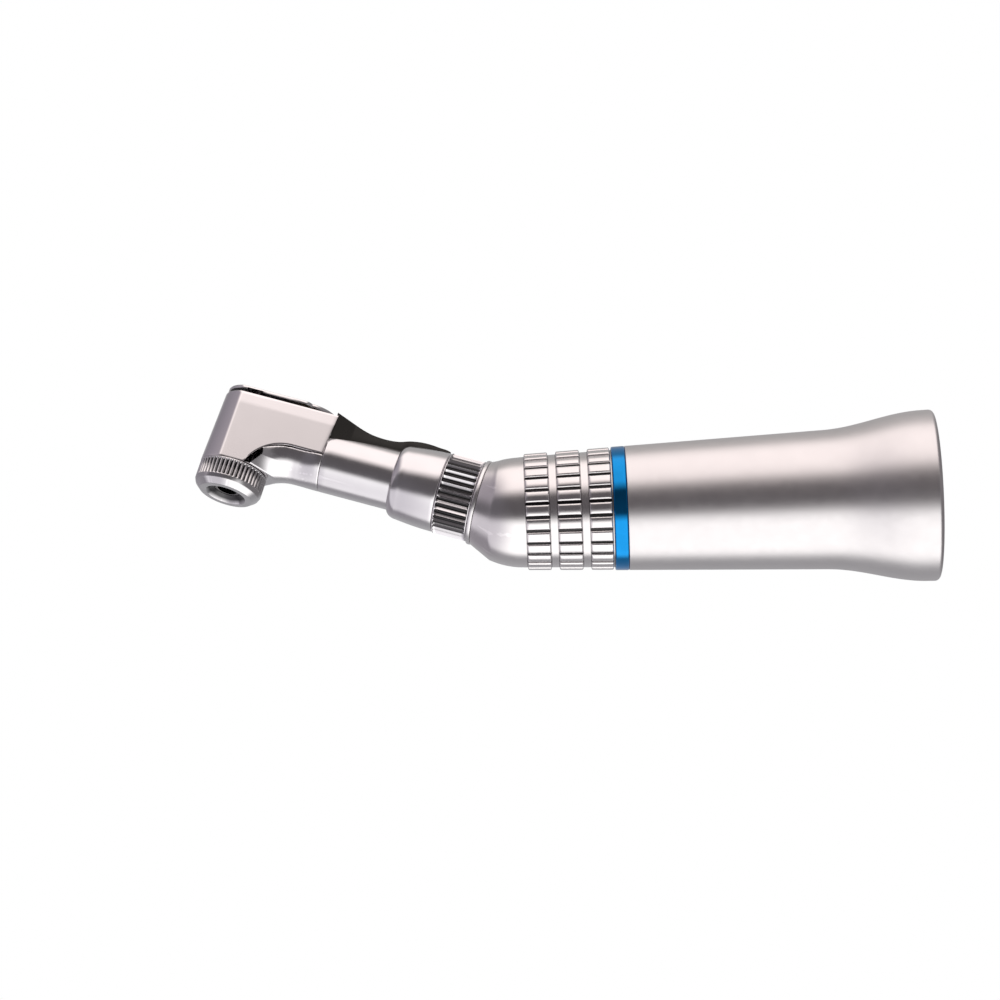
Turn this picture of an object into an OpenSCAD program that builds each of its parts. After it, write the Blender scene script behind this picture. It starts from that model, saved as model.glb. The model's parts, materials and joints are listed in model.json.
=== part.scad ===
// Contra angle handpiece, latch type, 1:1 drive. Millimetres.
// Row frame: origin at the centre of the motor mouth, +X out of the mouth, +Z up, bur towards -Z.
// Local frames: the handle's z runs forward from the mouth, the neck's z forward from the bend,
// and the head's z down towards the bur tip, with x pointing back along the neck.

/* [Bend and head] */
// Angle between the handle and the neck, degrees
bend_angle = 18.5; // [17:0.5:20]
// Mouth to the bend point, along the handle
bend_depth = 49.4; // [49.2:0.1:49.8]
// Bend point to the bur axis, along the neck
head_reach = 33.7; // [33.5:0.1:34]

/* [Handle] */
// Length of the rear sheath
sheath_len = 36.4; // [35.5:0.1:36.6]
// Outer radius of the handle at the foot of the flare
handle_r = 8.2; // [8.1:0.05:8.4]
// Outer radius of the handle at its front
handle_front_r = 6.85; // [6.8:0.05:6.95]
// How far the flare stands out of the taper at the mouth
flare_rise = 1.42; // [1.2:0.02:1.5]
// Length of the flare
flare_len = 11.5; // [10:0.5:12]
// Radius of the rounded rim
rim_r = 0.55; // [0.3:0.05:0.6]
// Width of the coloured ring
ring_w = 1.65; // [1.5:0.05:1.7]

/* [Motor socket] */
// Radius of the bore that takes the motor's nose
socket_r = 6.1; // [6:0.05:6.2]
// Guiding length of that bore
socket_len = 16; // [15:0.5:16]

/* [Grip] */
// Blocks round the handle in each row
grip_blocks = 26; // [20:1:30]
// Rows of blocks
grip_rows = 3; // [1:1:3]
// Length of a row
row_len = 2.8; // [2.6:0.05:2.85]
// Width of the groove between two rows
groove_w = 0.925; // [0.8:0.025:1]
// Width of the slot between two blocks
slot_w = 0.32; // [0.2:0.02:0.4]
// Depth of the slots and grooves
slot_depth = 0.34; // [0.2:0.02:0.36]

/* [Elbow] */
// Radius of the ball-shaped front of the elbow
elbow_r = 6.45; // [6.4:0.05:6.6]
// Bend point to the elbow's edge, square to the edge
edge_out = 2.63; // [2.5:0.01:2.8]
// Radius of the nose where the washer sits
nose_r = 5.02; // [4.9:0.02:5.1]

/* [Neck] */
// Radius of the neck tube
neck_r = 3.62; // [3.55:0.01:3.7]
// Outer radius of the fluted ring
flute_ring_r = 4.82; // [4.7:0.02:4.9]
// Flutes round the ring
flutes = 36; // [30:1:40]
// Largest radius of the bulb
bulb_r = 4.75; // [4.7:0.01:4.8]

/* [Head] */
// Half the width across the head's flat sides
head_half_w = 3.55; // [3.5:0.01:3.6]
// Top of the shield, measured up from the neck axis
shield_top = 4.75; // [4.7:0.01:4.8]
// Thickness of the shield
shield_t = 0.3; // [0.25:0.01:0.32]
// Thickness of the latch plate
latch_t = 0.45; // [0.4:0.01:0.5]
// Outer radius of the knurled cap
cap_r = 4.05; // [4:0.01:4.1]
// Knurls round the cap
knurls = 48; // [40:1:56]
// Radius of the bur shank's bore, for a 2.35 mm shank
bur_r = 1.18; // [1.18:0.005:1.2]

/* [Gears] */
// Teeth of each gear at the bend
bend_teeth = 16; // [12:2:20]
// Teeth of each gear in the head
head_teeth = 14; // [14:2:16]
// Half the play between two teeth, degrees
gear_play = 0.6; // [0.5:0.05:0.9]

/* [Hidden] */
$fn = 96;
fit = 0.02;          // gap between pieces that seat in each other
run_gap = 0.05;      // gap of pieces that turn in each other
curve_steps = 24;

// Handle
taper = (handle_r - handle_front_r) / 35.3;
taper_start = 13;
ring_start = sheath_len;
grip_start = ring_start + ring_w;
grip_end = grip_start + grip_rows * row_len + (grip_rows - 1) * groove_w;
grip_wall_r = 5.62;
ring_seat_r = 6.4;
retain_groove_w = 1;

// Carrier and its nut
carrier_at = 23.4;
carrier_end = 46.2;
carrier_stop = 46.3;
carrier_lip_r = 3.4;
spacer_hole_r = 3.3;
nut_at = 23.6;
nut_w = 2;
nut_r = 5;
nut_hole_r = 3;

// Elbow and nose
cavity_r = 4.2;
cone_foot_r = 5.95;
spigot_r = 3.7;
washer_start = 4.3;
washer_end = 4.9;
ring_end = 9.1;
nose_end = 8.75;
nose_thread_r = 4.15;
ball_span = 75;         // how far round the elbow's ball its outline is drawn, degrees

// Neck
neck_start = 3.4;
bulb_start = 9.15;
bulb_shoulder = 13.65;
bulb_end = 14.95;
bulb_fall = 0.3;
seam = 23.45;
neck_plug_r = 3;
neck_plug_end = 27.4;
neck_bore_r = 1.75;
spine_top = 5.3;
spine_half_w = 3.15;
spine_tip_half_w = 1.35;
spine_mid_half_w = 1.65;

// Head
top_face = 4.6;
latch_gap = 0.4;
latch_under = shield_top + latch_gap;
latch_top = latch_under + latch_t;
latch_pivot = 6.95;
latch_tail_r = 2.95;
latch_nose_r = 3.6;
latch_inset = 0.2;
latch_pin_r = 0.6;
latch_pin_foot = 3.4;    // lower end of the latch's pin, up from the neck's axis
pocket_r = 0.95;
pocket_floor = 0.22;
detent_at = 3.6;         // from the bur axis back to the detent ball
detent_r = 0.5;
detent_foot = 3.28;      // lower end of the detent spring, up from the neck's axis
shield_rear_top = 10.5;
shield_rear_low = 10.05;
shield_cut_top = 0.45;
shield_cut_r = 5.3;
shield_cut_a = 6.4;
shield_end = 4.03;
shield_flat_end = 1.5;
shield_front_top = 3.75;
shield_front_low = 4.1;
housing_rear = head_reach - seam - fit;
barrel_skin_r = 3.3;
barrel_r = 3.2;
barrel_end = 5.2;
barrel_bore_r = 2.8;
belly_end = 7.2;         // where the neck begins to swell towards the barrel
belly_front = 2.2;
belly_curve = 0.088;
gear_room_r = 2.9;
cap_start = 4.05;
cap_knurl_end = 6.25;
cap_end = 7.3;
cap_face_r = 3.2;
cap_dish_r = 2.45;
cap_hole_r = 1.75;
cap_hole_start = 6.75;
cap_lip_start = 5.95;
spindle_r = 1.5;
spindle_top = 4.3;
spindle_end = 6.6;
drive_flat = 0.7;      // from the bur's axis to the flat that drives its shank
drive_relief = 0.22;   // how much the drive recess widens towards its open end
drive_start = 2;       // top of the round bore, up from the neck's axis

// Shafts and gears
drive_shaft_r = 1.25;
drive_shaft_start = 19;
drive_shaft_short = 1.2;   // how far it stops short of the bend
drive_collar_r = 1.8;
drive_collar_at = 25.8;
drive_collar_w = 1.2;
neck_shaft_r = 1;
neck_shaft_start = 1.25;
neck_shaft_end = 31;
bend_cone = (180 - bend_angle) / 2;
bend_gear_out = 3.6;
bend_gear_in = 2.4;
drive_back = 2.3;
flank_steps = 4;
head_cone = 45;
head_gear_out = 3.54;
head_gear_in = 2.75;
pressure_angle = 20;

// Bearings of the drive shaft, from the mouth
rear_bearing_at = 27;
front_bearing_at = 42.6;
drive_bearing_w = 2.6;
drive_bearing_r = 4;
ball_r = 0.6;
ball_ring_r = 2.6;
// Bearing of the neck shaft, from the bend
neck_bearing_at = 3.9;
neck_bearing_w = 2;
neck_bearing_r = 2.6;
neck_ball_r = 0.36;
neck_ball_ring_r = 1.8;
bush_start = 27.55;
bush_w = 1.75;
bush_r = 2.5;

// Drive dog
dog_tip = 16.6;
dog_travel = 1.6;
dog_r = 2.3;
dog_end = 21.2;
dog_pin_r = 0.4;
dog_pin_at = 20.2;
fork_half_w = 0.9;
fork_depth = 1.6;

module handle_frame() rotate([0, -90, 0]) children();
module neck_frame() translate([-bend_depth, 0, 0]) rotate([0, bend_angle - 90, 0]) children();
module edge_frame() translate([-bend_depth, 0, 0]) rotate([0, bend_angle / 2 - 90, 0]) children();
module head_frame() neck_frame() translate([0, 0, head_reach]) rotate([0, -90, 0])
    rotate([0, 0, 180]) children();

module tube(outer, inner, height) rotate_extrude()
    translate([inner, 0]) square([outer - inner, height]);

function handle_at(d) = handle_r - taper * (d - taper_start);
function flare_at(d) = d > rim_r + flare_len + 1 ? 0
    : flare_rise * (1 + cos(180 * max(0, d - rim_r - 1) / flare_len)) / 2;

// ---- Bevel gears: involute teeth drawn on a sphere round the cones' apex ----
function base_cone(cone) = asin(sin(cone) * cos(pressure_angle));
function spin_at(g, base) = g <= base ? 0
    : acos(min(1, cos(g) / cos(base))) / sin(base) - acos(min(1, tan(base) / tan(g)));
function half_tooth(g, cone, teeth) = 90 / teeth - gear_play
    + spin_at(cone, base_cone(cone)) - spin_at(g, base_cone(cone));
function flank(cone, root, tip, teeth, side) = [for (k = [0:flank_steps])
    let (g = side < 0 ? root + (tip - root) * k / flank_steps : tip - (tip - root) * k / flank_steps)
    [g, side * half_tooth(g, cone, teeth)]];
function tooth_line(cone, root, tip, teeth) = [for (t = [0:teeth - 1], side = [-1, 1],
    p = flank(cone, root, tip, teeth, side)) [p[0], p[1] + 360 * t / teeth]];
function on_sphere(r, p) = r * [sin(p[0]) * cos(p[1]), sin(p[0]) * sin(p[1]), cos(p[0])];

// A gear whose apex is the origin and whose body lies along +z, with a tooth centred on +x
module bevel_gear(cone, root, tip, teeth, outer, inner, bore, back_r, back_z) {
    line = tooth_line(cone, root, tip, teeth);
    count = len(line);
    front_z = inner * cos(root);
    rings = [
        [for (p = line) [bore * cos(p[1]), bore * sin(p[1]), front_z]],
        [for (p = line) on_sphere(inner, p)],
        [for (p = line) on_sphere(outer, p)],
        [for (p = line) [back_r * cos(p[1]), back_r * sin(p[1]), back_z]],
        [for (p = line) [bore * cos(p[1]), bore * sin(p[1]), back_z]]];
    ring_count = len(rings);
    polyhedron([for (ring = rings, p = ring) p],
        [for (j = [0:ring_count - 1], i = [0:count - 1])
            let (a = j * count + i, b = j * count + (i + 1) % count,
                c = ((j + 1) % ring_count) * count + (i + 1) % count,
                d = ((j + 1) % ring_count) * count + i)
            each [[a, b, c], [a, c, d]]], convexity = 10);
}

// ---- A ball bearing, split in its two rings and its balls ----
module bearing_groove(ring_r, ball, width) translate([0, 0, width / 2])
    rotate_extrude() translate([ring_r, 0]) circle(r = ball + 0.04, $fn = 48);
module bearing_outer(outer, ring_r, ball, width) difference() {
    tube(outer, ring_r + ball * 0.55, width);
    bearing_groove(ring_r, ball, width);
}
module bearing_inner(inner, ring_r, ball, width) difference() {
    tube(ring_r - ball * 0.55, inner, width);
    bearing_groove(ring_r, ball, width);
}
module bearing_balls(ring_r, ball, width, count) for (i = [0:count - 1])
    rotate(360 * i / count) translate([ring_r, 0, width / 2]) sphere(r = ball, $fn = 32);

// ---- A round wire wound along z ----
module coil(mean_r, wire_r, height, turns) {
    sides = 8;
    steps = 16;
    rings = turns * steps;
    points = [for (j = [0:rings], i = [0:sides - 1])
        let (around = 360 * j / steps, section = 360 * i / sides,
            r = mean_r + wire_r * cos(section),
            z = wire_r + (height - 2 * wire_r) * j / rings + wire_r * sin(section))
        [r * cos(around), r * sin(around), z]];
    walls = [for (j = [0:rings - 1], i = [0:sides - 1])
        let (a = j * sides + i, b = j * sides + (i + 1) % sides)
        each [[a, b, b + sides], [a, b + sides, a + sides]]];
    polyhedron(points, concat(walls, [[for (i = [sides - 1:-1:0]) i]],
        [[for (i = [0:sides - 1]) rings * sides + i]]), convexity = 10);
}

// ================= Handle =================
module rear_sheath() color("silver") handle_frame() difference() {
    rotate_extrude() polygon(concat(
        [[socket_r, sheath_len], [socket_r, 0]],
        [for (k = [0:6]) let (a = 90 * k / 6)
            [handle_at(rim_r) + flare_at(rim_r) - rim_r + rim_r * sin(a), rim_r - rim_r * cos(a)]],
        [for (k = [1:curve_steps]) let (d = rim_r + (flare_len + 1) * k / curve_steps)
            [handle_at(d) + flare_at(d), d]],
        [[handle_at(sheath_len), sheath_len]]));
    translate([0, 0, socket_len + 0.6]) cylinder(r = socket_r + 0.4, h = retain_groove_w);
}

module ratio_ring() color("dodgerblue") handle_frame() translate([0, 0, ring_start])
    rotate_extrude() polygon([[ring_seat_r + fit, 0], [handle_at(ring_start), 0],
        [handle_at(grip_start), ring_w], [ring_seat_r + fit, ring_w]]);

// Outline of the grip and the ball-shaped front of the elbow, filled to the axis
module grip_outline() {
    polygon(concat(
        [[0, ring_start], [ring_seat_r, ring_start], [ring_seat_r, grip_start],
            [handle_at(grip_start) - slot_depth, grip_start], [handle_at(grip_end) - slot_depth, grip_end],
            [elbow_r + 0.03, grip_end + 0.2]],
        [for (k = [0:12]) let (a = ball_span * k / 12) [elbow_r * cos(a), bend_depth + elbow_r * sin(a)]],
        [[0, bend_depth + elbow_r * sin(ball_span)]]));
    for (k = [0:grip_rows - 1]) {
        d = grip_start + k * (row_len + groove_w);
        polygon([[grip_wall_r + 0.2, d], [handle_at(d), d],
            [handle_at(d + row_len), d + row_len], [grip_wall_r + 0.2, d + row_len]]);
    }
}

// Straight cone from the elbow's edge to the nose
module elbow_cone() hull() {
    edge_frame() translate([0, 0, edge_out - 0.5]) cylinder(r = cone_foot_r, h = 0.05, $fn = 64);
    neck_frame() translate([0, 0, washer_start - 0.05]) cylinder(r = nose_r, h = 0.05, $fn = 64);
}

module grip_housing() color("silver") difference() {
    union() {
        difference() {
            handle_frame() rotate_extrude() grip_outline();
            edge_frame() translate([-10, -10, edge_out]) cube([20, 20, 10]);
            handle_frame() for (k = [0:grip_blocks - 1]) rotate(360 * k / grip_blocks)
                translate([handle_at(grip_start) - slot_depth, -slot_w / 2, grip_start])
                rotate([0, -atan(taper), 0])
                translate([0, 0, -0.5]) cube([3, slot_w, grip_end - grip_start + 0.6]);
        }
        elbow_cone();
        neck_frame() cylinder(r = nose_thread_r, h = nose_end);
    }
    handle_frame() translate([0, 0, ring_start - 1])
        cylinder(r = grip_wall_r, h = carrier_stop - ring_start + 1);
    handle_frame() translate([0, 0, carrier_stop - 1])
        cylinder(r = cavity_r, h = bend_depth - carrier_stop + 1);
    translate([-bend_depth, 0, 0]) sphere(r = cavity_r + 0.03);
    neck_frame() cylinder(r = spigot_r + fit, h = nose_end + 1);
}

module gear_carrier() color("gray") handle_frame() difference() {
    union() {
        translate([0, 0, carrier_at]) cylinder(r = socket_r - fit, h = sheath_len - carrier_at);
        translate([0, 0, sheath_len]) cylinder(r = grip_wall_r - fit, h = carrier_end - sheath_len);
    }
    translate([0, 0, carrier_at - 1])
        cylinder(r = drive_bearing_r + fit, h = front_bearing_at + drive_bearing_w - carrier_at + 1);
    translate([0, 0, front_bearing_at]) cylinder(r = carrier_lip_r, h = 10);
    translate([0, 0, carrier_at - 1]) cylinder(r = nut_r, h = nut_at + nut_w - carrier_at + 1);
}

module retaining_nut() color("darkkhaki") handle_frame() translate([0, 0, nut_at]) difference() {
    union() {
        tube(nut_r - fit, nut_hole_r, nut_w);
        tube(drive_bearing_r, nut_hole_r, rear_bearing_at - nut_at);
    }
    for (k = [0:3]) rotate(90 * k) translate([nut_r - 0.8, -0.5, -1]) cube([2, 1, 2]);
}

module bearing_spacer() color("darkkhaki") handle_frame()
    translate([0, 0, rear_bearing_at + drive_bearing_w + fit])
    tube(drive_bearing_r, spacer_hole_r, front_bearing_at - rear_bearing_at - drive_bearing_w - 2 * fit);

module rear_bearing() handle_frame() translate([0, 0, rear_bearing_at]) children();
module front_bearing() handle_frame() translate([0, 0, front_bearing_at]) children();
module rear_bearing_outer() color("silver") rear_bearing()
    bearing_outer(drive_bearing_r, ball_ring_r, ball_r, drive_bearing_w);
module rear_bearing_inner() color("silver") rear_bearing()
    bearing_inner(drive_shaft_r + 0.01, ball_ring_r, ball_r, drive_bearing_w);
module rear_bearing_balls() color("gainsboro") rear_bearing()
    bearing_balls(ball_ring_r, ball_r, drive_bearing_w, 9);
module front_bearing_outer() color("silver") front_bearing()
    bearing_outer(drive_bearing_r, ball_ring_r, ball_r, drive_bearing_w);
module front_bearing_inner() color("silver") front_bearing()
    bearing_inner(drive_shaft_r + 0.01, ball_ring_r, ball_r, drive_bearing_w);
module front_bearing_balls() color("gainsboro") front_bearing()
    bearing_balls(ball_ring_r, ball_r, drive_bearing_w, 9);

// ================= Drive shaft =================
module drive_shaft() color("silver") handle_frame() difference() {
    union() {
        translate([0, 0, drive_shaft_start])
            cylinder(r = drive_shaft_r, h = bend_depth - drive_shaft_short - drive_shaft_start);
        translate([0, 0, drive_collar_at]) cylinder(r = drive_collar_r, h = drive_collar_w);
    }
    translate([0, 0, dog_pin_at]) rotate([90, 0, 0]) cylinder(r = dog_pin_r, h = 10, center = true);
}

module drive_gear() color("goldenrod") handle_frame() translate([0, 0, bend_depth])
    rotate([180, 0, 0]) bevel_gear(bend_cone, bend_cone - 7.9, bend_cone + 6, bend_teeth,
        bend_gear_out, bend_gear_in, drive_shaft_r + 0.01, 2.4, drive_back);

module dog_pin() color("silver") handle_frame() translate([0, 0, dog_pin_at])
    rotate([90, 0, 0]) cylinder(r = dog_pin_r - 0.01, h = 2 * dog_r - 0.3, center = true);

module drive_dog() color("dimgray") handle_frame() difference() {
    translate([0, 0, dog_tip]) cylinder(r = dog_r, h = dog_end - dog_tip);
    translate([0, 0, dog_tip - 1]) cylinder(r = drive_shaft_r + run_gap, h = 10);
    translate([-5, -fork_half_w, dog_tip - 1]) cube([10, 2 * fork_half_w, fork_depth + 1]);
    for (end = [0:1]) translate([0, 0, dog_pin_at - end * (dog_travel + 0.3) + 0.15])
        rotate([90, 0, 0]) cylinder(r = dog_pin_r + run_gap, h = 10, center = true);
    translate([-dog_pin_r - run_gap, -5, dog_pin_at - dog_travel - 0.15])
        cube([2 * (dog_pin_r + run_gap), 10, dog_travel + 0.3]);
}

module dog_spring() color("silver") handle_frame() translate([0, 0, dog_end + 0.02])
    coil(1.7, 0.2, drive_collar_at - dog_end - 0.04, 5);

// ================= Neck =================
module neck_washer() color("white") neck_frame() translate([0, 0, washer_start])
    rotate_extrude() polygon([[nose_thread_r + fit, 0.01], [nose_r, 0.01], [nose_r + 0.06, 0.2],
        [nose_r + 0.02, washer_end - washer_start - 0.05],
        [nose_thread_r + fit, washer_end - washer_start - 0.05]]);

module neck_ring() color("gray") neck_frame() translate([0, 0, washer_end]) difference() {
    rotate_extrude() polygon([[nose_thread_r + run_gap, 0], [flute_ring_r - 0.12, 0], [flute_ring_r, 0.15],
        [flute_ring_r, ring_end - washer_end - 0.15], [flute_ring_r - 0.12, ring_end - washer_end],
        [nose_thread_r + run_gap, ring_end - washer_end]]);
    for (k = [0:flutes - 1]) rotate(360 * k / flutes) translate([flute_ring_r + 0.05, 0, 0.3])
        cylinder(r = 0.3, h = ring_end - washer_end - 0.6, $fn = 16);
}

// Outline of the bulb and the neck tube as (radius, z)
function bulb_line(grow) = concat(
    [[bulb_r + grow, bulb_start + 0.1]],
    [for (k = [1:8]) let (t = k / 8)
        [bulb_r + grow - bulb_fall * t * t, bulb_start + 0.1 + (bulb_shoulder - bulb_start - 0.1) * t]],
    [for (k = [1:6]) let (a = 90 * k / 6) [neck_r + grow + (bulb_r - bulb_fall - neck_r) * cos(a),
        bulb_shoulder + (bulb_end - bulb_shoulder) * sin(a)]]);

module neck_body() color("silver") neck_frame() difference() {
    rotate_extrude() polygon(concat(
        [[0, neck_start], [spigot_r, neck_start], [spigot_r, bulb_start - 0.35],
            [nose_thread_r, bulb_start - 0.35], [nose_thread_r, bulb_start], [bulb_r - 0.1, bulb_start]],
        bulb_line(0),
        [[neck_r, seam], [neck_plug_r, seam], [neck_plug_r, neck_plug_end], [0, neck_plug_end]]));
    translate([0, 0, 3]) cylinder(r = neck_bearing_r + fit, h = neck_bearing_at + neck_bearing_w - 3);
    cylinder(r = neck_bore_r, h = 30);
}

// Side view: height above the neck's axis along the neck
module spine_side() polygon([[2, bulb_start + 0.3], [bulb_r + 0.03, bulb_start + 0.3], [4.93, 10.8],
    [5, 12], [4.93, 13.2], [4.65, 14.4], [4.2, 15.5], [3.95, 16.8], [3.9, 18], [3.97, 19], [4.2, 20.1],
    [4.55, 21.2], [4.92, 22.3], [spine_top, seam], [2, seam]]);
module neck_spine() color("dimgray") neck_frame() difference() {
    intersection() {
        rotate([90, 0, 0]) linear_extrude(height = 8, center = true) spine_side();
        rotate([0, 90, 0]) linear_extrude(height = 8) polygon([[-seam, spine_half_w],
            [-bulb_shoulder, spine_mid_half_w], [-bulb_start, spine_tip_half_w],
            [-bulb_start, -spine_tip_half_w], [-bulb_shoulder, -spine_mid_half_w], [-seam, -spine_half_w]]);
    }
    rotate_extrude() polygon(concat([[0, neck_start], [bulb_r + fit, neck_start]], bulb_line(fit),
        [[neck_r + fit, seam + 1], [0, seam + 1]]));
}

module neck_bearing() neck_frame() translate([0, 0, neck_bearing_at]) children();
module neck_bearing_outer() color("silver") neck_bearing()
    bearing_outer(neck_bearing_r, neck_ball_ring_r, neck_ball_r, neck_bearing_w);
module neck_bearing_inner() color("silver") neck_bearing()
    bearing_inner(neck_shaft_r + 0.01, neck_ball_ring_r, neck_ball_r, neck_bearing_w);
module neck_bearing_balls() color("gainsboro") neck_bearing()
    bearing_balls(neck_ball_ring_r, neck_ball_r, neck_bearing_w, 9);
module neck_bearing_clip() color("gray") neck_frame() translate([0, 0, 3.45]) difference() {
    tube(neck_bearing_r, 2.1, 0.4);
    translate([1, -0.6, -1]) cube([3, 1.2, 3]);
}

module neck_shaft() color("silver") neck_frame() translate([0, 0, neck_shaft_start])
    cylinder(r = neck_shaft_r, h = neck_shaft_end - neck_shaft_start);
module neck_gear() color("goldenrod") neck_frame() rotate(180 / bend_teeth)
    bevel_gear(bend_cone, bend_cone - 7.9, bend_cone + 6, bend_teeth,
        bend_gear_out, bend_gear_in, neck_shaft_r + 0.01, 1.9, 3.2);
module neck_pinion() color("goldenrod") neck_frame() translate([0, 0, head_reach]) rotate([180, 0, 0])
    bevel_gear(head_cone, head_cone - 6.8, head_cone + 5.2, head_teeth,
        head_gear_out, head_gear_in, neck_shaft_r + 0.01, 1.8, 4);
module neck_front_bush() color("peru") neck_frame() translate([0, 0, bush_start])
    tube(bush_r, neck_shaft_r + run_gap, bush_w);

// ================= Head =================
// Outline seen from above; grow moves every edge inwards when negative
function front_bow(tip) = (pow(tip - shield_flat_end, 2) + pow(head_half_w, 2))
    / (2 * (tip - shield_flat_end));
module head_plan(tip, grow) {
    intersection() {
        translate([front_bow(tip) - tip, 0]) circle(r = front_bow(tip) + grow);
        translate([-10, -head_half_w - grow]) square([10 - shield_flat_end, 2 * (head_half_w + grow)]);
    }
    translate([-shield_flat_end - 0.01, -head_half_w - grow])
        square([shield_rear_top + 0.3 + shield_flat_end, 2 * (head_half_w + grow)]);
}
module head_envelope(grow, low, high) hull() {
    translate([0, 0, -high]) linear_extrude(height = 0.02) head_plan(shield_front_top, grow);
    translate([0, 0, low - 0.02]) linear_extrude(height = 0.02) head_plan(shield_front_low, grow);
}
// Side view of the shield: x back along the neck, y down towards the bur
module shield_side() difference() {
    polygon([[-6, -shield_top], [shield_rear_top, -shield_top], [shield_rear_low, shield_cut_top],
        [shield_cut_a, shield_cut_top], [shield_cut_a, shield_end], [-6, shield_end]]);
    translate([shield_cut_a, shield_cut_top + shield_cut_r]) circle(r = shield_cut_r);
}
module shield_prism() rotate([90, 0, 0]) linear_extrude(height = 12, center = true)
    shield_side();

module head_shield() color("lightgray") head_frame() intersection() {
    shield_prism();
    difference() {
        head_envelope(0, shield_end, shield_top);
        head_envelope(-shield_t, shield_end + 1, shield_top + 1);
    }
}

// The underside swells from the neck's round section to the barrel
function belly(a) = a > belly_end ? 0 : belly_curve * pow(belly_end - a, 2);
module belly_loft() {
    stations = [for (k = [0:12]) housing_rear - (housing_rear - belly_front) * k / 12];
    sides = 48;
    points = [for (a = stations, i = [0:sides - 1])
        let (t = 360 * i / sides, deep = cos(t) > 0 ? neck_r + 0.06 + belly(a) : neck_r + 0.06)
        [a, (neck_r + 0.02 - 0.02 * belly(a)) * sin(t), deep * cos(t)]];
    walls = [for (j = [0:len(stations) - 2], i = [0:sides - 1])
        let (a = j * sides + i, b = j * sides + (i + 1) % sides)
        each [[b, a, b + sides], [b + sides, a, a + sides]]];
    polyhedron(points, concat(walls, [[for (i = [0:sides - 1]) i]],
        [[for (i = [sides - 1:-1:0]) (len(stations) - 1) * sides + i]]), convexity = 4);
}

module head_housing() color("silver") head_frame() difference() {
    union() {
        translate([0, 0, -top_face]) cylinder(r = barrel_r - 0.1, h = top_face + barrel_end);
        cylinder(r = barrel_skin_r, h = cap_start - 0.03);
        belly_loft();
        translate([0, -barrel_r, -top_face]) cube([housing_rear, 2 * barrel_r, top_face]);
    }
    difference() {
        shield_room();
        head_envelope(-shield_t - fit, shield_end + 1, shield_top + 1);
    }
    cap_zone();
    translate([0, 0, -top_face - 1]) cylinder(r = spindle_r + 0.3, h = 20);
    translate([0, 0, -4.15]) cylinder(r = 2.6, h = 5);
    translate([0, 0, -2.6]) cylinder(r = gear_room_r, h = 6.6);
    cylinder(r = barrel_bore_r, h = 8);
    rotate([0, 90, 0]) cylinder(r = gear_room_r, h = 4.3);
    rotate([0, 90, 0]) cylinder(r = bush_r + fit, h = 6.3);
    translate([6.28, 0, 0]) rotate([0, 90, 0]) cylinder(r = neck_plug_r + fit, h = 8);
    translate([latch_pivot, 0, -top_face - 1])
        cylinder(r = latch_pin_r + 0.01, h = top_face + 1.1 - latch_pin_foot);
    translate([detent_at, 0, -top_face - 1])
        cylinder(r = detent_r + run_gap, h = top_face + 1.03 - detent_foot);
}
// Space that the shield takes in the housing's sides
module shield_room() rotate([90, 0, 0]) linear_extrude(height = 12, center = true) difference() {
    polygon([[-6, -shield_top - 1], [shield_rear_top + 1, -shield_top - 1],
        [shield_rear_top + 1, shield_cut_top + fit], [shield_cut_a, shield_cut_top + fit],
        [shield_cut_a, cap_start + 2], [-6, cap_start + 2]]);
    translate([shield_cut_a, shield_cut_top + shield_cut_r]) circle(r = shield_cut_r - fit);
}
// Space that the cap's skirt sweeps
module cap_zone() translate([0, 0, cap_start - run_gap]) tube(9, barrel_r - 0.1, 6);

module latch_pin() color("silver") head_frame() translate([latch_pivot, 0, -latch_top])
    cylinder(r = latch_pin_r, h = latch_top - latch_pin_foot);

module latch_lever() color("gray") head_frame() translate([0, 0, -latch_top]) difference() {
    linear_extrude(height = latch_t) difference() {
        union() {
            intersection() {
                head_plan(latch_nose_r, -latch_inset);
                translate([-10, -5]) square([10 + latch_pivot, 10]);
            }
            intersection() {
                translate([latch_pivot, 0]) circle(r = latch_tail_r);
                translate([-10, latch_inset - head_half_w]) square([30, 2 * (head_half_w - latch_inset)]);
            }
        }
        translate([latch_pivot, 0]) circle(r = latch_pin_r + run_gap);
    }
    translate([0, 0, pocket_floor]) linear_extrude(height = 1) {
        circle(r = pocket_r);
        translate([-pocket_r, 0]) square([2 * pocket_r, 5]);
    }
}

module detent_ball() color("gainsboro") head_frame() translate([detent_at, 0, detent_r + fit - latch_under])
    sphere(r = detent_r, $fn = 32);
module detent_spring() color("silver") head_frame()
    translate([detent_at, 0, 2 * detent_r + 0.06 - latch_under])
    coil(0.38, 0.1, latch_under - 2 * detent_r - 0.06 - detent_foot, 3);

module front_cap() color("gray") head_frame() difference() {
    rotate_extrude() polygon([[barrel_r + run_gap, cap_start], [cap_r - 0.15, cap_start],
        [cap_r, cap_start + 0.15], [cap_r, cap_knurl_end], [cap_r - 0.1, cap_knurl_end + 0.1],
        [cap_face_r, cap_end], [cap_dish_r, cap_end], [cap_hole_r, cap_hole_start],
        [spindle_r + run_gap, spindle_end], [spindle_r + run_gap, cap_lip_start],
        [barrel_r + run_gap, cap_lip_start]]);
    for (k = [0:knurls - 1]) rotate(360 * k / knurls) translate([cap_r + 0.06, 0, cap_start + 0.18])
        cylinder(r = 0.16, h = cap_knurl_end - cap_start - 0.3, $fn = 4);
}

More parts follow.
